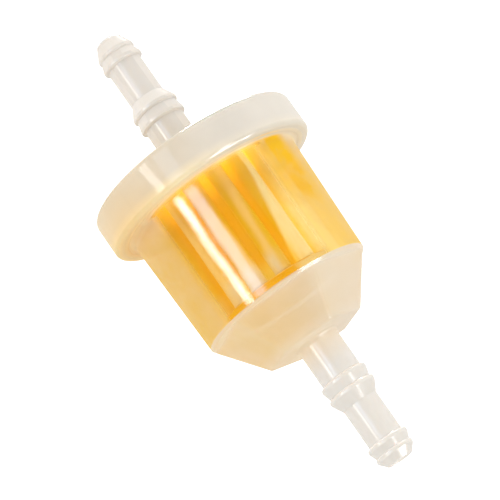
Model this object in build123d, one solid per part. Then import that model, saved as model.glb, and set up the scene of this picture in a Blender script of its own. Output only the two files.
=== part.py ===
from build123d import *
import os

# Inline fuel filter for a small engine, in millimetres.
# The flow axis is Z and the origin is half way along it. The inlet spigot points up and the
# outlet spigot points down, so fuel falls through the filter from the tank to the carburettor.

# Stations along the flow axis
LENGTH = 84.2
INLET_TIP_Z = LENGTH / 2
OUTLET_TIP_Z = -LENGTH / 2
CONE_END_Z = 18.85          # narrow end of the faceted cone, where the inlet spigot starts
FACET_BASE_Z = 11.2         # wide end of the facets
WALL_END_Z = 10.7           # end of the round wall, with a small bevel up to the facets
FLANGE_TOP_Z = -10.5        # face of the flange on the bowl side
FLANGE_BOTTOM_Z = -17.1     # face of the flange on the outlet side

# Bowl
WALL = 1.5
BOWL_R_AT_CONE = 14.75
BOWL_R_AT_FLANGE = 15.5     # wider by the mould's draft
FACETS = 6
APOTHEM_BASE = 12.6         # from the axis to the middle of a facet, at its wide end
APOTHEM_END = 7.6           # the same at the narrow end
FACET_TURN = 4.5            # degrees that the front facet is turned past -Y
RIDGE_R = 1.1               # rounding of the ridges between facets
RIM_R = 16.9                # outward rim that the cap's skirt closes round
RIM_T = 1.6
RIM_FILLET_R = 0.7          # between the rim and the round wall

# Cap
CAP_R = 18.75
PLATE_T = 2.4
SKIRT_GAP = 0.15            # from the rim to the skirt, filled by the weld
EDGE_R = 0.9
TOP_EDGE_R = 0.7
COLLAR_R = 3.3              # collar inside the cap that the element sits on
COLLAR_H = 2.6
WELD_FLASH_W = 0.9          # width and height of the bead that stands on the flange's face
WELD_FLASH_H = 0.06

# Spigots: two small barbs for 1/4 in hose and, nearer the body, two larger for 5/16 in hose
BORE_R = 1.6
BORE_LEAD = 0.25
MOUTH_R = 2.2               # wider mouth of the bore where it passes through the body's wall
TIP_R = 2.2
SMALL_CREST_OUT_R = 3.32
SMALL_VALLEY_R = 3.1
SMALL_CREST_IN_R = 3.6
SMALL_STEM_R = 3.05
LARGE_CREST_R = 4.12
LARGE_VALLEY_R = 3.7
LARGE_STEM_R = 3.55
LAND = 0.5                  # length of the short cylinder on each crest
STEP = 0.25                 # length of the steep face behind each crest
SMALL_PITCH = 2.0           # from one small crest to the next
LARGE_PITCH = 2.3
SMALL_STEM_LEN = 7.0
TAPER_LEN = 2.0
INLET_LEAD_IN = 1.3         # from the tip to the first land
OUTLET_LEAD_IN = 2.2
ROOT_R = 0.8
BARB_EDGE_R = 0.12

# Filter element
PLEATS = 13
PLEAT_TURN = 8              # degrees from +X to the middle of the first pleat
SEAM_PLEAT = 3              # the pleat, counted from the first, that holds the glued seam
LOBE_R = 1.5                # outer fold of a pleat
LOBE_CENTRE_R = 9.45        # from the axis to the middle of that fold
FOOT_R = 0.9                # inner end of a pleat
FOOT_CENTRE_R = 5.0
VALLEY_R = 5.4              # from the axis to the bottom of the gap between pleats
PAPER_T = 0.45
ELEMENT_TOP_Z = 10.0
DISC_R = 11.6
DISC_T = 0.6
LIP_T = 0.45                # lip round each end disc, which holds the bond in
LIP_H = 0.35
BOND_T = 0.6
CORE_R = 4.85
CORE_WALL = 0.8
CORE_HOLE_R = 0.9
CORE_ROWS = 5
CORE_HOLES_IN_ROW = 6
SEAM_W = 0.5
FIT = 0.05                  # slack between round pieces that touch

PLATE_Z = FLANGE_BOTTOM_Z + PLATE_T          # inner face of the cap's plate
ELEMENT_BOTTOM_Z = PLATE_Z
PAPER_BOTTOM_Z = ELEMENT_BOTTOM_Z + DISC_T + BOND_T
PAPER_TOP_Z = ELEMENT_TOP_Z - DISC_T - BOND_T


def revolved(points):
    """Solid of revolution about Z from an outline of (radius, z) points."""
    face = make_face(Polyline([(r, 0, z) for r, z in points], close=True))
    return revolve(face, Axis.Z)


def tube(outer_r, inner_r, z0, z1):
    """Ring with a rectangular section."""
    return revolved([(inner_r, z0), (outer_r, z0), (outer_r, z1), (inner_r, z1)])


def hexagonal_cone(apothem_base, apothem_end, z0, z1):
    """Faceted frustum with one facet facing -Y, turned by FACET_TURN."""
    base = Pos(0, 0, z0) * Rot(0, 0, FACET_TURN) * RegularPolygon(apothem_base, FACETS, major_radius=False)
    end = Pos(0, 0, z1) * Rot(0, 0, FACET_TURN) * RegularPolygon(apothem_end, FACETS, major_radius=False)
    return loft([base, end])


def spigot_outline(lead_in, length):
    """Outside of a spigot as (radius, distance from its tip) points, from tip to root."""
    crest_out = lead_in + LAND
    crest_in = crest_out + SMALL_PITCH
    taper = crest_in + STEP + SMALL_STEM_LEN
    large_out = taper + TAPER_LEN + LAND
    large_in = large_out + LARGE_PITCH
    return [
        (TIP_R, 0),
        (SMALL_CREST_OUT_R, lead_in),
        (SMALL_CREST_OUT_R, crest_out),
        (SMALL_VALLEY_R, crest_out + STEP),
        (SMALL_CREST_IN_R, crest_in - LAND),
        (SMALL_CREST_IN_R, crest_in),
        (SMALL_STEM_R, crest_in + STEP),
        (SMALL_STEM_R, taper),
        (LARGE_CREST_R, large_out - LAND),
        (LARGE_CREST_R, large_out),
        (LARGE_VALLEY_R, large_out + STEP),
        (LARGE_CREST_R, large_in - LAND),
        (LARGE_CREST_R, large_in),
        (LARGE_STEM_R, large_in + STEP),
        (LARGE_STEM_R, length),
    ]


def spigot(tip_z, root_z, lead_in):
    """Stepped hose spigot without its bore. It runs a little past its root, into the body."""
    inward = 1 if root_z > tip_z else -1
    length = abs(root_z - tip_z) + WALL / 2
    outline = spigot_outline(lead_in, length)
    points = [(r, tip_z + inward * d) for r, d in outline]
    on_axis = [(0, tip_z + inward * length), (0, tip_z)]
    face = make_face(Polyline([(r, 0, z) for r, z in points + on_axis], close=True))
    root = points[-1][1]
    corners = [v for v in face.vertices() if v.X > BORE_R and v.Z != root]
    face = fillet(corners, BARB_EDGE_R)
    return revolve(face, Axis.Z)


def bore(tip_z, root_z, end_z):
    """Flow passage of a spigot, with a small lead at the tip and a wider mouth past the root."""
    inward = 1 if end_z > tip_z else -1
    return revolved([
        (0, tip_z - inward),
        (BORE_R + BORE_LEAD, tip_z - inward),
        (BORE_R + BORE_LEAD, tip_z),
        (BORE_R, tip_z + inward * BORE_LEAD),
        (BORE_R, root_z),
        (MOUTH_R, root_z),
        (MOUTH_R, end_z),
        (0, end_z),
    ])


def circle_edges(body, radius, z):
    """Circular edges of a body at one radius and height."""
    return [
        e for e in body.edges().filter_by(GeomType.CIRCLE)
        if abs(e.radius - radius) < 0.02 and abs(e.center().Z - z) < 0.02
    ]


def inlet_bowl():
    """Round wall, faceted cone and inlet spigot, moulded as one piece."""
    outside = revolved([
        (0, PLATE_Z),
        (BOWL_R_AT_FLANGE, PLATE_Z),
        (BOWL_R_AT_FLANGE, FLANGE_TOP_Z - RIM_T),
        (RIM_R, FLANGE_TOP_Z - RIM_T),
        (RIM_R, FLANGE_TOP_Z),
        (BOWL_R_AT_FLANGE, FLANGE_TOP_Z),
        (BOWL_R_AT_CONE, WALL_END_Z),
        (BOWL_R_AT_CONE - (FACET_BASE_Z - WALL_END_Z), FACET_BASE_Z),
        (0, FACET_BASE_Z),
    ])
    cone = hexagonal_cone(APOTHEM_BASE, APOTHEM_END, FACET_BASE_Z, CONE_END_Z)
    ridges = [e for e in cone.edges() if abs(e.tangent_at(0.5).Z) > 0.3]
    cone = fillet(ridges, RIDGE_R)
    cone = fillet(cone.edges().group_by(Axis.Z)[-1], ROOT_R)
    body = outside + cone + spigot(INLET_TIP_Z, CONE_END_Z, INLET_LEAD_IN)
    body = fillet(circle_edges(body, LARGE_STEM_R, CONE_END_Z), ROOT_R)
    body = fillet(circle_edges(body, BOWL_R_AT_FLANGE, FLANGE_TOP_Z), RIM_FILLET_R)

    slope = (BOWL_R_AT_FLANGE - BOWL_R_AT_CONE) / (WALL_END_Z - FLANGE_TOP_Z)
    open_r = BOWL_R_AT_FLANGE - WALL
    hollow = revolved([
        (0, PLATE_Z),
        (open_r, PLATE_Z),
        (open_r, FLANGE_TOP_Z),
        (open_r - slope * (WALL_END_Z - FLANGE_TOP_Z), WALL_END_Z),
        (0, WALL_END_Z),
    ])
    cone_hollow = hexagonal_cone(APOTHEM_BASE - WALL, APOTHEM_END - WALL, WALL_END_Z, CONE_END_Z - WALL)
    hollow_ridges = [e for e in cone_hollow.edges() if abs(e.tangent_at(0.5).Z) > 0.3]
    cone_hollow = fillet(hollow_ridges, RIDGE_R / 2)
    return body - hollow - cone_hollow - bore(INLET_TIP_Z, CONE_END_Z, WALL_END_Z)


def outlet_cap():
    """Flanged cap with its skirt, the collar for the element and the outlet spigot."""
    skirt_r = RIM_R + SKIRT_GAP
    disc = revolved([
        (0, FLANGE_BOTTOM_Z),
        (CAP_R, FLANGE_BOTTOM_Z),
        (CAP_R, FLANGE_TOP_Z),
        (skirt_r, FLANGE_TOP_Z),
        (skirt_r, PLATE_Z),
        (COLLAR_R, PLATE_Z),
        (COLLAR_R, PLATE_Z + COLLAR_H),
        (0, PLATE_Z + COLLAR_H),
    ])
    disc = fillet(circle_edges(disc, CAP_R, FLANGE_BOTTOM_Z), EDGE_R)
    disc = fillet(circle_edges(disc, CAP_R, FLANGE_TOP_Z), TOP_EDGE_R)
    body = disc + spigot(OUTLET_TIP_Z, FLANGE_BOTTOM_Z, OUTLET_LEAD_IN)
    body = fillet(circle_edges(body, LARGE_STEM_R, FLANGE_BOTTOM_Z), ROOT_R)
    return body - bore(OUTLET_TIP_Z, FLANGE_BOTTOM_Z, PLATE_Z + COLLAR_H + 1)


def weld_bead():
    """Melted ring that fills the gap between rim and skirt and stands a little above them."""
    middle = RIM_R + SKIRT_GAP / 2
    fill = tube(RIM_R + SKIRT_GAP, RIM_R, FLANGE_TOP_Z - RIM_T, FLANGE_TOP_Z)
    flash = revolved([
        (middle - WELD_FLASH_W / 2, FLANGE_TOP_Z),
        (middle + WELD_FLASH_W / 2, FLANGE_TOP_Z),
        (middle + WELD_FLASH_W / 4, FLANGE_TOP_Z + WELD_FLASH_H),
        (middle - WELD_FLASH_W / 4, FLANGE_TOP_Z + WELD_FLASH_H),
    ])
    return fill + flash


def pleat_angle(i):
    """Direction of one pleat in degrees from +X."""
    return PLEAT_TURN + 360 * i / PLEATS


def pleat_outline(inset):
    """Star of rounded pleats seen along the axis, drawn in by inset."""
    lobe = Pos(LOBE_CENTRE_R, 0) * Circle(LOBE_R - inset)
    foot = Pos(FOOT_CENTRE_R, 0) * Circle(FOOT_R - inset)
    pleat = make_hull((lobe + foot).edges())
    star = Circle(VALLEY_R - inset)
    for i in range(PLEATS):
        star += Rot(0, 0, pleat_angle(i)) * pleat
    return star


def element_paper():
    """Pleated paper, one closed zigzag round the core."""
    section = pleat_outline(0) - pleat_outline(PAPER_T)
    return extrude(Pos(0, 0, PAPER_BOTTOM_Z) * section, PAPER_TOP_Z - PAPER_BOTTOM_Z)


def paper_seam():
    """Glue line that joins the two ends of the paper, inside the outer fold of one pleat."""
    height = PAPER_TOP_Z - PAPER_BOTTOM_Z
    middle_z = PAPER_BOTTOM_Z + height / 2
    fold = Pos(LOBE_CENTRE_R, 0, middle_z) * Cylinder(LOBE_R - PAPER_T - FIT, height)
    strip = Pos(LOBE_CENTRE_R + LOBE_R / 2, 0, middle_z) * Box(LOBE_R, SEAM_W, height)
    return Rot(0, 0, pleat_angle(SEAM_PLEAT)) * (fold & strip)


def core_tube():
    """Perforated centre tube that keeps the pleats from folding inwards."""
    z0 = ELEMENT_BOTTOM_Z + DISC_T
    z1 = ELEMENT_TOP_Z - DISC_T
    body = tube(CORE_R, CORE_R - CORE_WALL, z0, z1)
    pitch = (z1 - z0) / CORE_ROWS
    for row in range(CORE_ROWS):
        for k in range(CORE_HOLES_IN_ROW):
            turn = 360 * (k + 0.5 * (row % 2)) / CORE_HOLES_IN_ROW
            hole = Pos(CORE_R, 0, z0 + pitch * (row + 0.5)) * Rot(0, 90, 0) * Cylinder(CORE_HOLE_R, 3 * CORE_WALL)
            body -= Rot(0, 0, turn) * hole
    return body


def end_disc(face_z, inward, hole_r=0):
    """Shallow cup on one end of the element. inward is the sign of Z towards the paper."""
    z1 = face_z + inward * DISC_T
    z2 = face_z + inward * (DISC_T + LIP_H)
    return revolved([
        (hole_r, face_z),
        (DISC_R, face_z),
        (DISC_R, z2),
        (DISC_R - LIP_T, z2),
        (DISC_R - LIP_T, z1),
        (hole_r, z1),
    ])


def end_bond(z0):
    """Cured resin that seals the ends of the pleats into an end disc."""
    return tube(DISC_R - LIP_T - FIT, CORE_R + FIT, z0, z0 + BOND_T)


def build():
    return {
        "inlet_bowl": inlet_bowl(),
        "outlet_cap": outlet_cap(),
        "weld_bead": weld_bead(),
        "element_paper": element_paper(),
        "paper_seam": paper_seam(),
        "core_tube": core_tube(),
        "closed_end_disc": end_disc(ELEMENT_TOP_Z, -1),
        "closed_end_bond": end_bond(PAPER_TOP_Z),
        "open_end_disc": end_disc(ELEMENT_BOTTOM_Z, 1, COLLAR_R + FIT),
        "open_end_bond": end_bond(PAPER_BOTTOM_Z - BOND_T),
    }


os.makedirs("parts", exist_ok=True)
for name, shape in build().items():
    shape.label = name
    export_step(shape, f"parts/{name}.step")
    print(name, round(shape.volume, 1))
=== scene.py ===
import math

import bmesh
import bpy
from mathutils import Matrix, Vector, noise


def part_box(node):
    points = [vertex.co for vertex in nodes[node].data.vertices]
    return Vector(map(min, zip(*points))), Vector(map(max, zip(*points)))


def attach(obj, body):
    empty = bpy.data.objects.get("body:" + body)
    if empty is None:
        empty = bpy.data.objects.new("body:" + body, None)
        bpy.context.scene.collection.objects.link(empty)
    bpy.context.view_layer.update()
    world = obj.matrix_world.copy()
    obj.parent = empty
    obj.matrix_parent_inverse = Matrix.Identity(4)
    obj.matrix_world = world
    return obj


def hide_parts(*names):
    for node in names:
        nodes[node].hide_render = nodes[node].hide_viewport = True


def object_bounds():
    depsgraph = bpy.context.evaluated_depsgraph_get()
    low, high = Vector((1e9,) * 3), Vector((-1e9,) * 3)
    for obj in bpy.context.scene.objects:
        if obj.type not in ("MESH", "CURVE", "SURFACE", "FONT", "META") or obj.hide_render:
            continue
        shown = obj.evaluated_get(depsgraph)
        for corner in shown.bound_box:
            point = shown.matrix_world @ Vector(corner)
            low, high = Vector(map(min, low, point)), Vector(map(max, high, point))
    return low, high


# Looks of the inline fuel filter. Metres, in the row frame: the flow axis is Z with the inlet up,
# and the camera stands on the -Y side. Places in the tables of looks are in mm.
MM = 0.001

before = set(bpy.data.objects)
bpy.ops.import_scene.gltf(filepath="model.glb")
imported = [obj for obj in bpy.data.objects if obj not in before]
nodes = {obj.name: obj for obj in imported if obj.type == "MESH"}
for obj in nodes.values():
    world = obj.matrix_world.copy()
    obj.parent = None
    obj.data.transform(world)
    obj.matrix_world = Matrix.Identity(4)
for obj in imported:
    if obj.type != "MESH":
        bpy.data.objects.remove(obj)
cad_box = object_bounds()
scene = bpy.context.scene

# ---------------------------------------------------------------- camera
CAM_DISTANCE = 335 * MM
CAM_ELEVATION = math.radians(12.9)
CAM_ROLL = math.radians(145)        # the inlet points down to the right
CAM_SENSOR = 36                     # mm
CAM_FOCAL = 149.6                   # mm
CAM_AIM = (-0.05 * MM, -0.74 * MM)  # picture right and up from the middle of the filter
CAM_CLIP = (0.01, 10)               # m


def add_camera():
    """Camera in front of the filter, a little on its inlet side, rolled about its own axis."""
    back = Vector((0, -math.cos(CAM_ELEVATION), math.sin(CAM_ELEVATION)))
    side = Vector((1, 0, 0))
    over = back.cross(side)
    right = side * math.cos(CAM_ROLL) + over * math.sin(CAM_ROLL)
    up = over * math.cos(CAM_ROLL) - side * math.sin(CAM_ROLL)
    place = right * CAM_AIM[0] + up * CAM_AIM[1] + back * CAM_DISTANCE
    camera = bpy.data.objects.new("camera", bpy.data.cameras.new("camera"))
    scene.collection.objects.link(camera)
    camera.data.lens = CAM_FOCAL
    camera.data.sensor_width = CAM_SENSOR
    camera.data.clip_start, camera.data.clip_end = CAM_CLIP
    turn = Matrix((right, up, back)).transposed()
    camera.matrix_world = Matrix.Translation(place) @ turn.to_4x4()
    scene.camera = camera


# ---------------------------------------------------------------- material helpers
def rgba(value):
    """A socket's colour from three numbers, or the value as it is."""
    return (*value, 1) if isinstance(value, tuple) and len(value) == 3 else value


def grey(value):
    """A ramp colour from a colour or from one number."""
    return value if isinstance(value, tuple) else (value, value, value)


class Tree:
    """A material's node tree, with short calls that add nodes and return their outputs."""

    def __init__(self, name):
        self.material = bpy.data.materials.new(name)
        self.material.use_nodes = True
        self.tree = self.material.node_tree
        self.tree.nodes.clear()
        self.out = self.tree.nodes.new("ShaderNodeOutputMaterial")
        self.place = self.add("TexCoord").outputs["Object"]

    def feed(self, socket, value):
        """Link a socket to another, or give it its own value."""
        if isinstance(value, bpy.types.NodeSocket):
            self.tree.links.new(value, socket)
        else:
            socket.default_value = value

    def add(self, kind, inputs=(), **settings):
        node = self.tree.nodes.new("ShaderNode" + kind)
        for key, value in settings.items():
            setattr(node, key, value)
        for key, value in dict(inputs).items():
            self.feed(node.inputs[key], value)
        return node

    def math(self, operation, a, b=0.0, clamp=False):
        node = self.add("Math", {0: a, 1: b}, operation=operation, use_clamp=clamp)
        return node.outputs[0]

    def times(self, *factors):
        """Product of two or more values."""
        product = factors[0]
        for factor in factors[1:]:
            product = self.math("MULTIPLY", product, factor)
        return product

    def vector(self, operation, a, b=(0, 0, 0)):
        return self.add("VectorMath", {0: a, 1: b}, operation=operation)

    def axis(self, letter):
        return self.add("SeparateXYZ", {0: self.place}).outputs[letter]

    def radius(self):
        """Distance from the flow axis."""
        flat = self.vector("MULTIPLY", self.place, (1, 1, 0)).outputs[0]
        return self.vector("LENGTH", flat).outputs["Value"]

    def noise(self, where, scale, detail=2.0):
        node = self.add("TexNoise", {"Vector": where, "Scale": scale, "Detail": detail})
        return node.outputs["Fac"]

    def bump(self, height, strength, distance, under=None):
        """Bumped normal, on top of another one if under is given."""
        inputs = {"Height": height, "Strength": strength, "Distance": distance}
        if under:
            inputs["Normal"] = under
        return self.add("Bump", inputs).outputs[0]

    def remap(self, value, low, high, to_low=0.0, to_high=1.0, smooth=False):
        node = self.add("MapRange", {0: value, 1: low, 2: high, 3: to_low, 4: to_high})
        node.clamp = True
        if smooth:
            node.interpolation_type = "SMOOTHSTEP"
        return node.outputs[0]

    def fade(self, length, low, high, to_low=0.0, to_high=1.0, smooth=False):
        """Remap of a length, with low and high in mm."""
        return self.remap(length, low * MM, high * MM, to_low, to_high, smooth)

    def profile(self, length, stops):
        """Ramp over a length from stops of (mm, colour or number)."""
        low, high = stops[0][0], stops[-1][0]
        node = self.add("ValToRGB", {"Fac": self.fade(length, low, high)})
        band = node.color_ramp
        while len(band.elements) < len(stops):
            band.elements.new(0.5)
        for element, (place, value) in zip(band.elements, stops):
            element.position = (place - low) / (high - low)
            element.color = rgba(grey(value))
        return node.outputs["Color"]

    def mix(self, factor, a, b):
        """Colour a where the factor is 0 and b where it is 1."""
        node = self.add("Mix", {0: factor, 6: rgba(a), 7: rgba(b)}, data_type="RGBA")
        return node.outputs[2]

    def finish(self, shader):
        self.tree.links.new(shader.outputs[0], self.out.inputs["Surface"])
        return self.material


def set_material(obj, material):
    obj.data.materials.clear()
    obj.data.materials.append(material)


# Noise scales, in cells per metre
RIPPLE = 95.0
CLOUD = 170.0
ZONE_WANDER = 190.0
SWIRL = 450.0
FIBRE = 1800.0
GRAIN = 2600.0
MOTTLE = 3.0
MIDDLE = (0.3, 0.7)      # the noise values between which most of its change lies

# ---------------------------------------------------------------- colours
MILK = (0.67, 0.64, 0.59)           # natural nylon, from cool to warm
# outlet spigot's nylon, painted lighter against the shade of the flange and the floor
MILK_PAINTED_LIGHT = (0.765, 0.72, 0.665)
MILK_WARM = (0.76, 0.665, 0.53)
MILK_CLOUD = (0.93, 0.88, 0.80)
IVORY = (0.67, 0.585, 0.455)
WARM = (0.72, 0.60, 0.43)
# cream nylon of the cone, warmed by painted amber light from the paper inside it
CREAM_AND_PAPER_LIGHT = (0.72, 0.525, 0.265)
RIM = (0.90, 0.75, 0.45)
PEACH = (0.82, 0.56, 0.24)          # nylon with light from the amber paper in it
# nylon beside the element, amber from painted light of the paper behind it
PAPER_LIGHT_TINT = (0.72, 0.455, 0.10)
LIT = (0.88, 0.53, 0.03)
LIT_PALE = (0.84, 0.63, 0.18)
LIT_GOLD = (0.98, 0.55, 0.001)
LIT_DEEP = (0.78, 0.425, 0.005)
AMBER_DEEP = (0.83, 0.46, 0.006)    # filter paper
AMBER_GOLD = (0.83, 0.515, 0.008)
AMBER_FOLD = (0.95, 0.66, 0.19)
AMBER_SAND = (0.84, 0.70, 0.42)
AMBER_LIT = (0.96, 0.85, 0.44)
GLOW = (0.52, 0.43, 0.005)          # painted glow, for light that comes through the paper
RESIN_ORANGE = (0.80, 0.36, 0.004)  # bonds, discs and core
DISC_DEEP = (0.76, 0.325, 0.002)
DISC_ORANGE = (0.82, 0.375, 0.003)
DISC_LIT = (0.77, 0.51, 0.16)
CORE_PALE = (0.90, 0.72, 0.40)
CORE_DARK = (0.86, 0.66, 0.34)

# ---------------------------------------------------------------- nylon
# Each list holds (height in mm, value). thick is how opaque the nylon is where it is seen edge on,
# and the last entry how far the cap, the cone and the spigots turn to MILK on their -X side: painted
# light.
BOWL_LOOK = {
    "colours": [(-14, WARM), (-11, RIM), (-10.2, RIM), (-9.2, PEACH), (-5, PAPER_LIGHT_TINT), (10.6, PAPER_LIGHT_TINT),
                (10.75, WARM), (11.6, CREAM_AND_PAPER_LIGHT), (17, CREAM_AND_PAPER_LIGHT), (20, WARM), (24, MILK)],
    "opacity": [(-14, 0.85), (-10.5, 0.85), (-10.3, 0.4), (-9.9, 0.2), (-9.0, 0.10), (8, 0.09),
                (10.65, 0.06), (10.8, 0.75), (18, 0.8), (21, 0.85)],
    "gloss": [(-11, 0.012), (-9.9, 0.012), (-9.5, 0.05), (10.4, 0.05), (10.8, 0.012), (12, 0.012),
              (13, 0.02), (18, 0.02), (20, 0.05), (42, 0.05)],
    "rough": [(11, 0.075), (19, 0.19)],
    "thick": 0.8,
    "lit_side_whiteness": 0.5,
}
CAP_LOOK = {
    "colours": [(-27, MILK_PAINTED_LIGHT), (-19, MILK_WARM), (-17, IVORY), (-12.5, IVORY), (-10.6, RIM)],
    "opacity": [(-20, 0.85), (-17, 0.93)],
    "gloss": [(-42, 0.05), (-19, 0.05), (-17.3, 0.10), (-16.6, 0.10), (-16.2, 0.018),
              (-11.25, 0.018), (-11.0, 0.06), (-10.62, 0.06), (-10.54, 0.02), (-10, 0.02)],
    "rough": [(-19, 0.19), (-17.3, 0.06)],
    "thick": 0.93,
    "lit_side_whiteness": 0.75,
}
# Each pair says where a zone of the nylon fades in or out, in mm: from none to all of it, or for
# a pair that is followed by two amounts, from the first amount to the second.
WALL_LOW_Z = (-10.5, -10.3)     # the round wall beside the element
WALL_HIGH_Z = (10.68, 10.6)
CLEAR_Z = (-12.8, -12.4)        # its inner face, which is left clear
CLEAR_R = (14.2, 14.5)
LIT_SIDE_X = (6, -9)               # painted light: the cap, the cone and the spigots whiter on this side
LIT_IN_X = (-8.5, -10.5)        # amber light in the wall
LIT_OUT_X = (-14.5, -12)
LIT_Z = (-3, 3)                 # from LIT to LIT_PALE
STRIPE_IN_X = (-10.9, -11.5)    # golden stripe in that light
STRIPE_OUT_X = (-14.6, -13)
STRIPE_Z = (-1, 3)
GOLD_Z = (-9, -4)               # from LIT_GOLD to LIT_DEEP
PAPER_LIT_X = (2, 15)                # painted warm light from the paper on this side of the flange
PAPER_LIT_IN_Z = (-17.2, -10.6)
PAPER_LIT_OUT_Z = (-10.3, -9.3)
EDGE_ON = (0.21, 0.29)          # Layer Weight's facing value over which the nylon turns opaque
GRAZING = (0.3, 1.0)            # and over which its gloss grows
NYLON_ROUGHNESS = 0.45
NYLON_SCATTER = 0.5
NYLON_SCATTER_SCALE = 1.2 * MM
NYLON_SCATTER_RADIUS = (1.0, 0.85, 0.7)


def nylon_colour(t, z, cloud, beside, colours, lit_side_whiteness):
    """Colour of the nylon along its height, with painted light from the paper on both its sides and
    painted light that whitens its -X side.
    """
    x = t.axis("X")
    colour = t.mix(t.remap(cloud, 0.35, 0.7, 0, 0.10), t.profile(z, colours), MILK_CLOUD)
    clear_of_wall = t.math("SUBTRACT", 1.0, beside)
    # Painted light: away from the element the nylon turns whiter towards -X.
    painted_lit_side = t.times(t.fade(x, *LIT_SIDE_X, 0.0, lit_side_whiteness, smooth=True), clear_of_wall)
    colour = t.mix(painted_lit_side, colour, MILK)

    lit = t.times(beside, t.fade(x, *LIT_IN_X, smooth=True), t.fade(x, *LIT_OUT_X),
                  t.remap(cloud, 0.35, 0.6, 0.3, 0.9))
    colour = t.mix(lit, colour, t.mix(t.fade(z, *LIT_Z, smooth=True), LIT, LIT_PALE))
    stripe = t.times(beside, t.fade(x, *STRIPE_IN_X, smooth=True), t.fade(x, *STRIPE_OUT_X, smooth=True),
                     t.fade(z, *STRIPE_Z, 1.0, 0.35, smooth=True),
                     t.remap(cloud, 0.38, 0.52, 0.35, 1.0, smooth=True))
    colour = t.mix(stripe, colour, t.mix(t.fade(z, *GOLD_Z), LIT_GOLD, LIT_DEEP))

    # Painted light: PEACH on the +X side of the flange and the foot of the wall, for light from the
    # paper.
    paper_lit_side = t.times(t.fade(x, *PAPER_LIT_X, smooth=True), t.fade(z, *PAPER_LIT_IN_Z, 0.15, 0.7),
                        t.fade(z, *PAPER_LIT_OUT_Z, 1.0, 0.0))
    return t.mix(paper_lit_side, colour, PEACH)


def milky_nylon(name, colours, opacity, gloss, rough, thick, lit_side_whiteness, scatter=NYLON_SCATTER):
    """Cloudy natural nylon under a clear gloss."""
    t = Tree(name)
    z = t.axis("Z")
    cloud = t.noise(t.place, CLOUD, 3.0)
    grain = t.noise(t.place, GRAIN)
    ripple = t.noise(t.place, RIPPLE, 1.0)
    edge = t.add("LayerWeight", {"Blend": 0.5}).outputs["Facing"]
    wall_end = t.fade(z, *WALL_HIGH_Z)
    beside = t.times(t.fade(z, *WALL_LOW_Z), wall_end)
    colour = nylon_colour(t, z, cloud, beside, colours, lit_side_whiteness)

    alpha = t.math("ADD", t.profile(z, opacity), t.remap(cloud, *MIDDLE, -0.02, 0.02))
    alpha = t.math("MAXIMUM", alpha, t.remap(edge, *EDGE_ON, 0.0, thick, smooth=True))
    clear = t.times(t.fade(t.radius(), *CLEAR_R, 1.0, 0.0), t.fade(z, *CLEAR_Z), wall_end)
    alpha = t.math("MULTIPLY", alpha, t.math("SUBTRACT", 1.0, clear), clamp=True)

    fine = t.bump(grain, 0.04, 0.2 * MM)
    wavy = t.bump(ripple, 0.6, 0.6 * MM, under=fine)
    body = t.add("BsdfPrincipled", {
        "Base Color": colour, "Alpha": alpha, "Roughness": NYLON_ROUGHNESS, "Normal": fine,
        "Specular IOR Level": 0.0, "Subsurface Weight": scatter,
        "Subsurface Scale": NYLON_SCATTER_SCALE, "Subsurface Radius": NYLON_SCATTER_RADIUS})
    roughness = t.math("ADD", t.profile(z, rough), t.remap(cloud, *MIDDLE, 0.0, 0.06))
    shine = t.add("BsdfGlossy", {"Color": (1, 1, 1, 1), "Roughness": roughness, "Normal": wavy})
    share = t.times(t.profile(z, gloss), t.remap(edge, *GRAZING, 1.0, 1.6))
    return t.finish(t.add("MixShader", {"Fac": share, 1: body.outputs[0], 2: shine.outputs[0]}))


# ---------------------------------------------------------------- paper, resin and plastic
FIBRE_STRETCH = (1, 1, 0.25)    # fibres run along the flow axis
PAPER_THROUGH = 0.35            # share of the light that passes through the paper
BLUR = 0.4 * MM                 # by which the edges of the zones below wander
LEAN = 2.4 * MM                 # by which they lean towards +X over LEAN_Z, where LEAN_X lets them
LEAN_Z = (-9, 10)
LEAN_X = (0, -3)
GOLDEN_X = (6, -5)              # from AMBER_DEEP to AMBER_GOLD
LIT_FOLDS_R = (10.04, 10.48)    # the outer folds, paler in painted light, and the gaps deeper in painted shade
# bands where the paper is deeper in colour, and a zone where it turns sandier
DEEPER_X = [(-7.0, 0), (-6.5, 0.8), (-4.6, 0.8), (-3.4, 0), (7.2, 0), (8.2, 0.8)]
DEEPER_Z = (6.5, 8.6)
SANDY_X = [(-4.5, 0.2), (-3.0, 1), (6.5, 1), (7.8, 0.2)]
SANDY_Z = (3.6, 6.8)
# painted light on the pleats that face it, towards -X
LIT_PLEAT_X = [(-7.4, 0.85), (-6.7, 0.0)]
LIT_PLEAT_Z = (-7, 1)
# painted highlight along one fold
FOLD_HIGHLIGHT_X = [(-8.2, 0), (-7.7, 1), (-6.9, 1), (-6.4, 0)]
GLOW_R = (8.5, 10.6)            # less light comes through the outer folds
GLOW_Z = (-8, -12)              # and more by the flange
# painted light: the end discs paler on their -X side
DISC_LIT_X = (-3.2, -5.4)


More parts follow.
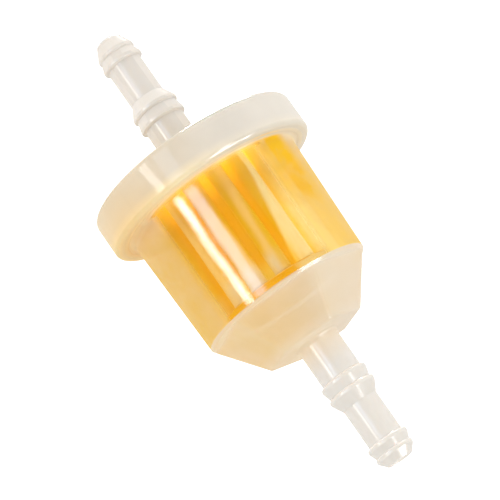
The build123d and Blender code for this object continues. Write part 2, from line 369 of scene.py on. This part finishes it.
def filter_paper():
    """Resin-cured amber paper with long fibres, paler in painted light on its folds and on one side,
    paler in a zone, with a painted glow.
    """
    t = Tree("filter_paper")
    x, z = t.axis("X"), t.axis("Z")
    radius = t.radius()
    stretch = t.vector("MULTIPLY", t.place, FIBRE_STRETCH).outputs[0]
    fibre = t.noise(stretch, FIBRE, 5.0)
    # noise that wanders the edges of the paper's zones
    zone_wander = t.noise(stretch, ZONE_WANDER, 3.0)
    blur = t.remap(zone_wander, *MIDDLE, -BLUR, BLUR)
    lean = t.times(t.fade(z, *LEAN_Z, 0.0, LEAN), t.fade(x, *LEAN_X))
    shifted = t.math("SUBTRACT", t.math("ADD", x, blur), lean)

    deep = t.mix(t.fade(x, *GOLDEN_X, smooth=True), AMBER_DEEP, AMBER_GOLD)
    # Painted light and shade of the pleats: outer folds paler, gaps deeper.
    colour = t.mix(t.fade(t.math("ADD", radius, blur), *LIT_FOLDS_R), deep, AMBER_FOLD)
    deeper_band = t.times(t.profile(shifted, DEEPER_X), t.fade(z, *DEEPER_Z, 1.0, 0.3, smooth=True))
    colour = t.mix(deeper_band, colour, deep)
    sandy_zone = t.times(t.profile(shifted, SANDY_X), t.fade(z, *SANDY_Z, 0.0, 0.9, smooth=True))
    colour = t.mix(sandy_zone, colour, AMBER_SAND)
    # Painted light on the pleats that face it, and a painted highlight on one fold.
    lit_pleats = t.times(t.profile(shifted, LIT_PLEAT_X), t.fade(z, *LIT_PLEAT_Z, 0.35, 1.0, smooth=True))
    lit_pleats = t.math("MAXIMUM", lit_pleats, t.profile(shifted, FOLD_HIGHLIGHT_X))
    colour = t.mix(lit_pleats, colour, AMBER_LIT)
    colour = t.mix(t.remap(fibre, 0.4, 0.75, 0, 0.2), colour, deep)

    # Painted glow: emission for light through the paper, less on the outer folds and more by the flange.
    glow = t.math("ADD", t.fade(radius, *GLOW_R, 0.65, 0.12), t.fade(z, *GLOW_Z, 0.0, 0.7))
    bump = t.bump(fibre, 0.35, 0.1 * MM)
    front = t.add("BsdfPrincipled", {
        "Base Color": colour, "Roughness": 0.8, "Specular IOR Level": 0.1, "Normal": bump,
        "Emission Color": rgba(GLOW), "Emission Strength": glow})
    through = t.add("BsdfTranslucent", {"Color": colour, "Normal": bump})
    both = {"Fac": PAPER_THROUGH, 1: front.outputs[0], 2: through.outputs[0]}
    return t.finish(t.add("MixShader", both))


def moulded(name, base, second, roughness, lit_side_colour=None):
    """Opaque cast or moulded plastic that clouds from one colour to another.

    The last argument is the colour that it turns to on the -X side: painted light on that side."""
    t = Tree(name)
    swirl = t.noise(t.place, SWIRL, 3.0)
    colour = t.mix(t.remap(swirl, *MIDDLE), base, second)
    if lit_side_colour:
        colour = t.mix(t.fade(t.axis("X"), *DISC_LIT_X, smooth=True), colour, lit_side_colour)
    return t.finish(t.add("BsdfPrincipled", {
        "Base Color": colour, "Specular IOR Level": 0.05,
        "Roughness": t.remap(swirl, *MIDDLE, roughness, roughness + 0.15),
        "Normal": t.bump(swirl, 0.25, 0.1 * MM)}))


# ---------------------------------------------------------------- pleated paper
PLEATS = 13
PLEAT_TURN = 8           # degrees, as in the CAD element
FOLD_R = 1.5 * MM        # outer fold of a pleat
GAP_R = 5.4 * MM         # bottom of the gap between two pleats
PAPER_T = 0.4 * MM
ROWS = 44                # of faces along the paper's height
GAP_STEPS = 4            # of the outline, over half a gap
SIDE_STEPS = 7           # over the side of a pleat
FOLD_STEPS = 16          # round its outer fold
GAP_SHARE = 0.55         # of half a pleat's turn, at its foot
FOOT_SHARE = 0.42        # half the width of a pleat's foot, in the same way
FOOT_SINK = 0.99         # of GAP_R
PLEAT_SEED = 7.3         # noise places from one pleat to the next
SHORT = 0.10             # mm that the folds fall short of the CAD paper, and how much that wanders
SHORT_WANDER = 0.14
FOLD_WANDER = 0.10       # of FOLD_R
LEAN_WANDER = 0.22 * MM
SHORT_NOISE = (1.7, 1.2)    # seed, and cells over the height
FOLD_NOISE = (5.1, 1.6)
LEAN_NOISE = (9.4, 1.4)


def pleat_line(pleat, height, outer):
    """Outline of one pleat at one height, as (x, y) points from gap to gap. height runs 0 to 1."""
    def wander(seed, rate):
        return noise.noise(Vector((pleat * PLEAT_SEED + seed, height * rate, seed)))

    def side(start, end, steps):
        """Points of the straight side of a pleat at the given steps."""
        line = (start.lerp(end, k / SIDE_STEPS) for k in steps)
        return [(point.x, point.y) for point in line]

    middle = outer - FOLD_R - (SHORT + SHORT_WANDER * (wander(*SHORT_NOISE) + 0.5)) * MM
    fold = FOLD_R * (1.0 + FOLD_WANDER * wander(*FOLD_NOISE))
    lean = LEAN_WANDER * wander(*LEAN_NOISE)
    half = math.pi / PLEATS
    gap_step = GAP_SHARE * half / GAP_STEPS
    foot_x = GAP_R * FOOT_SINK
    foot_y = GAP_R * math.sin(FOOT_SHARE * half)

    points = []
    for k in range(GAP_STEPS):
        a = -half + gap_step * k
        points.append((GAP_R * math.cos(a), GAP_R * math.sin(a)))
    points += side(Vector((foot_x, -foot_y)), Vector((middle, lean - fold)), range(SIDE_STEPS))
    for k in range(FOLD_STEPS + 1):
        a = math.radians(-90 + 180 * k / FOLD_STEPS)
        points.append((middle + fold * math.cos(a), lean + fold * math.sin(a)))
    points += side(Vector((middle, lean + fold)), Vector((foot_x, foot_y)), range(1, SIDE_STEPS + 1))
    for k in range(1, GAP_STEPS):
        a = (1 - GAP_SHARE) * half + gap_step * k
        points.append((GAP_R * math.cos(a), GAP_R * math.sin(a)))
    return points


def add_paper():
    """The pleated element as one closed sheet with its own thickness."""
    low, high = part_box("element_paper")
    outer = (high[0] - low[0]) / 2
    mesh = bpy.data.meshes.new("pleated_paper")
    built = bmesh.new()
    rows = []
    for row in range(ROWS + 1):
        height = row / ROWS
        z = low[2] + height * (high[2] - low[2])
        ring = []
        for pleat in range(PLEATS):
            turn = math.radians(PLEAT_TURN + 360 * pleat / PLEATS)
            c, s = math.cos(turn), math.sin(turn)
            for x, y in pleat_line(pleat, height, outer):
                ring.append(built.verts.new((x * c - y * s, x * s + y * c, z)))
        rows.append(ring)
    for lower, upper in zip(rows, rows[1:]):
        count = len(lower)
        for k in range(count):
            n = (k + 1) % count
            built.faces.new((lower[k], lower[n], upper[n], upper[k]))
    for face in built.faces:
        face.smooth = True
    built.to_mesh(mesh)
    built.free()
    paper = bpy.data.objects.new("pleated_paper", mesh)
    scene.collection.objects.link(paper)
    wall = paper.modifiers.new("thickness", "SOLIDIFY")
    wall.thickness = PAPER_T
    wall.offset = -1
    set_material(paper, filter_paper())
    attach(paper, "root")
    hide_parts("element_paper")


# ---------------------------------------------------------------- stage
FLOOR_HALF = 3.0         # m
FLOOR_GAP = 0.2 * MM     # under the filter
FLOOR_LIGHT = (0.96, 0.96, 0.96)
FLOOR_DARK = (0.94, 0.94, 0.94)
WORLD_COLOUR = (1.0, 0.99, 0.98)
WORLD_STRENGTH = 1.08


def add_floor():
    """Plain pale floor that neither shades the filter nor shows in its gloss."""
    half, z = FLOOR_HALF, cad_box[0][2] - FLOOR_GAP
    corners = [(-half, -half, z), (half, -half, z), (half, half, z), (-half, half, z)]
    mesh = bpy.data.meshes.new("floor")
    mesh.from_pydata(corners, [], [(0, 1, 2, 3)])
    floor = bpy.data.objects.new("floor", mesh)
    scene.collection.objects.link(floor)
    t = Tree("studio_floor")
    colour = t.mix(t.noise(t.place, MOTTLE), FLOOR_LIGHT, FLOOR_DARK)
    set_material(floor, t.finish(t.add("BsdfPrincipled", {
        "Base Color": colour, "Roughness": 0.9, "Emission Color": (1, 1, 1, 1),
        "Emission Strength": 0.4})))
    floor.visible_shadow = False
    floor.visible_glossy = False


def add_panel(name, azimuth, elevation, size, radiance, only, colour=(1, 1, 1), distance=0.5):
    """Soft rectangular lamp that faces the filter. Azimuth is from the camera's side towards +X.

    size is in degrees as seen from the filter. only limits it to "glossy" or "diffuse" light."""
    a, e = math.radians(azimuth), math.radians(elevation)
    away = Vector((math.sin(a) * math.cos(e), -math.cos(a) * math.cos(e), math.sin(e)))
    lamp = bpy.data.lights.new(name, "AREA")
    lamp.shape = "RECTANGLE"
    lamp.size, lamp.size_y = (2 * distance * math.tan(math.radians(angle / 2)) for angle in size)
    lamp.color = colour
    lamp.energy = radiance * math.pi * lamp.size * lamp.size_y
    panel = bpy.data.objects.new(name, lamp)
    scene.collection.objects.link(panel)
    panel.location = away * distance
    panel.rotation_mode = "QUATERNION"
    panel.rotation_quaternion = away.to_track_quat("Z", "Y")
    panel.visible_camera = False
    panel.visible_diffuse = only != "glossy"
    panel.visible_glossy = only != "diffuse"


def add_world():
    """Even light all round that leaves the reflections to the lamps."""
    world = bpy.data.worlds.new("studio")
    world.use_nodes = True
    background = world.node_tree.nodes["Background"]
    background.inputs["Color"].default_value = rgba(WORLD_COLOUR)
    background.inputs["Strength"].default_value = WORLD_STRENGTH
    world.cycles_visibility.glossy = False
    scene.world = world


# ---------------------------------------------------------------- build
add_camera()
add_floor()
add_world()
scene.view_settings.view_transform = "Standard"
# azimuth and elevation, then width and height, all in degrees, then radiance
add_panel("window_near", 42, -12, (8, 26), 12, "glossy")
add_panel("window_wide", 21.5, -12, (16, 26), 5, "glossy", colour=(0.4, 0.58, 0.86))
add_panel("overhead", -64, 67, (24, 7), 30, "glossy")
add_panel("overhead_spot", -94, 58, (6, 6), 70, "glossy")
add_panel("strip_right", -38, 30, (9, 44), 9, "glossy")
add_panel("key", -60, 35, (30, 30), 0.9, "diffuse")
add_panel("spark_left", -140, -62, (5, 34), 110, "glossy")
add_panel("spark_right", -150, -62, (5, 34), 110, "glossy")

# The bowl lets light reach the paper, as a real milky wall does.
bowl = nodes["inlet_bowl"]
bowl.visible_shadow = False
bowl.visible_diffuse = False
set_material(bowl, milky_nylon("milky_bowl", **BOWL_LOOK))
set_material(nodes["outlet_cap"], milky_nylon("milky_cap", **CAP_LOOK))
# Scattering makes a bead as thin as the weld's come out dark.
set_material(nodes["weld_bead"], milky_nylon("milky_weld", **CAP_LOOK, scatter=0.0))
add_paper()
resin = moulded("amber_resin", AMBER_FOLD, RESIN_ORANGE, 0.35)
for name in ("paper_seam", "closed_end_bond", "open_end_bond"):
    set_material(nodes[name], resin)
disc = moulded("disc_plastic", DISC_DEEP, DISC_ORANGE, 0.4, lit_side_colour=DISC_LIT)
for name in ("closed_end_disc", "open_end_disc"):
    set_material(nodes[name], disc)
set_material(nodes["core_tube"], moulded("core_plastic", CORE_PALE, CORE_DARK, 0.45))
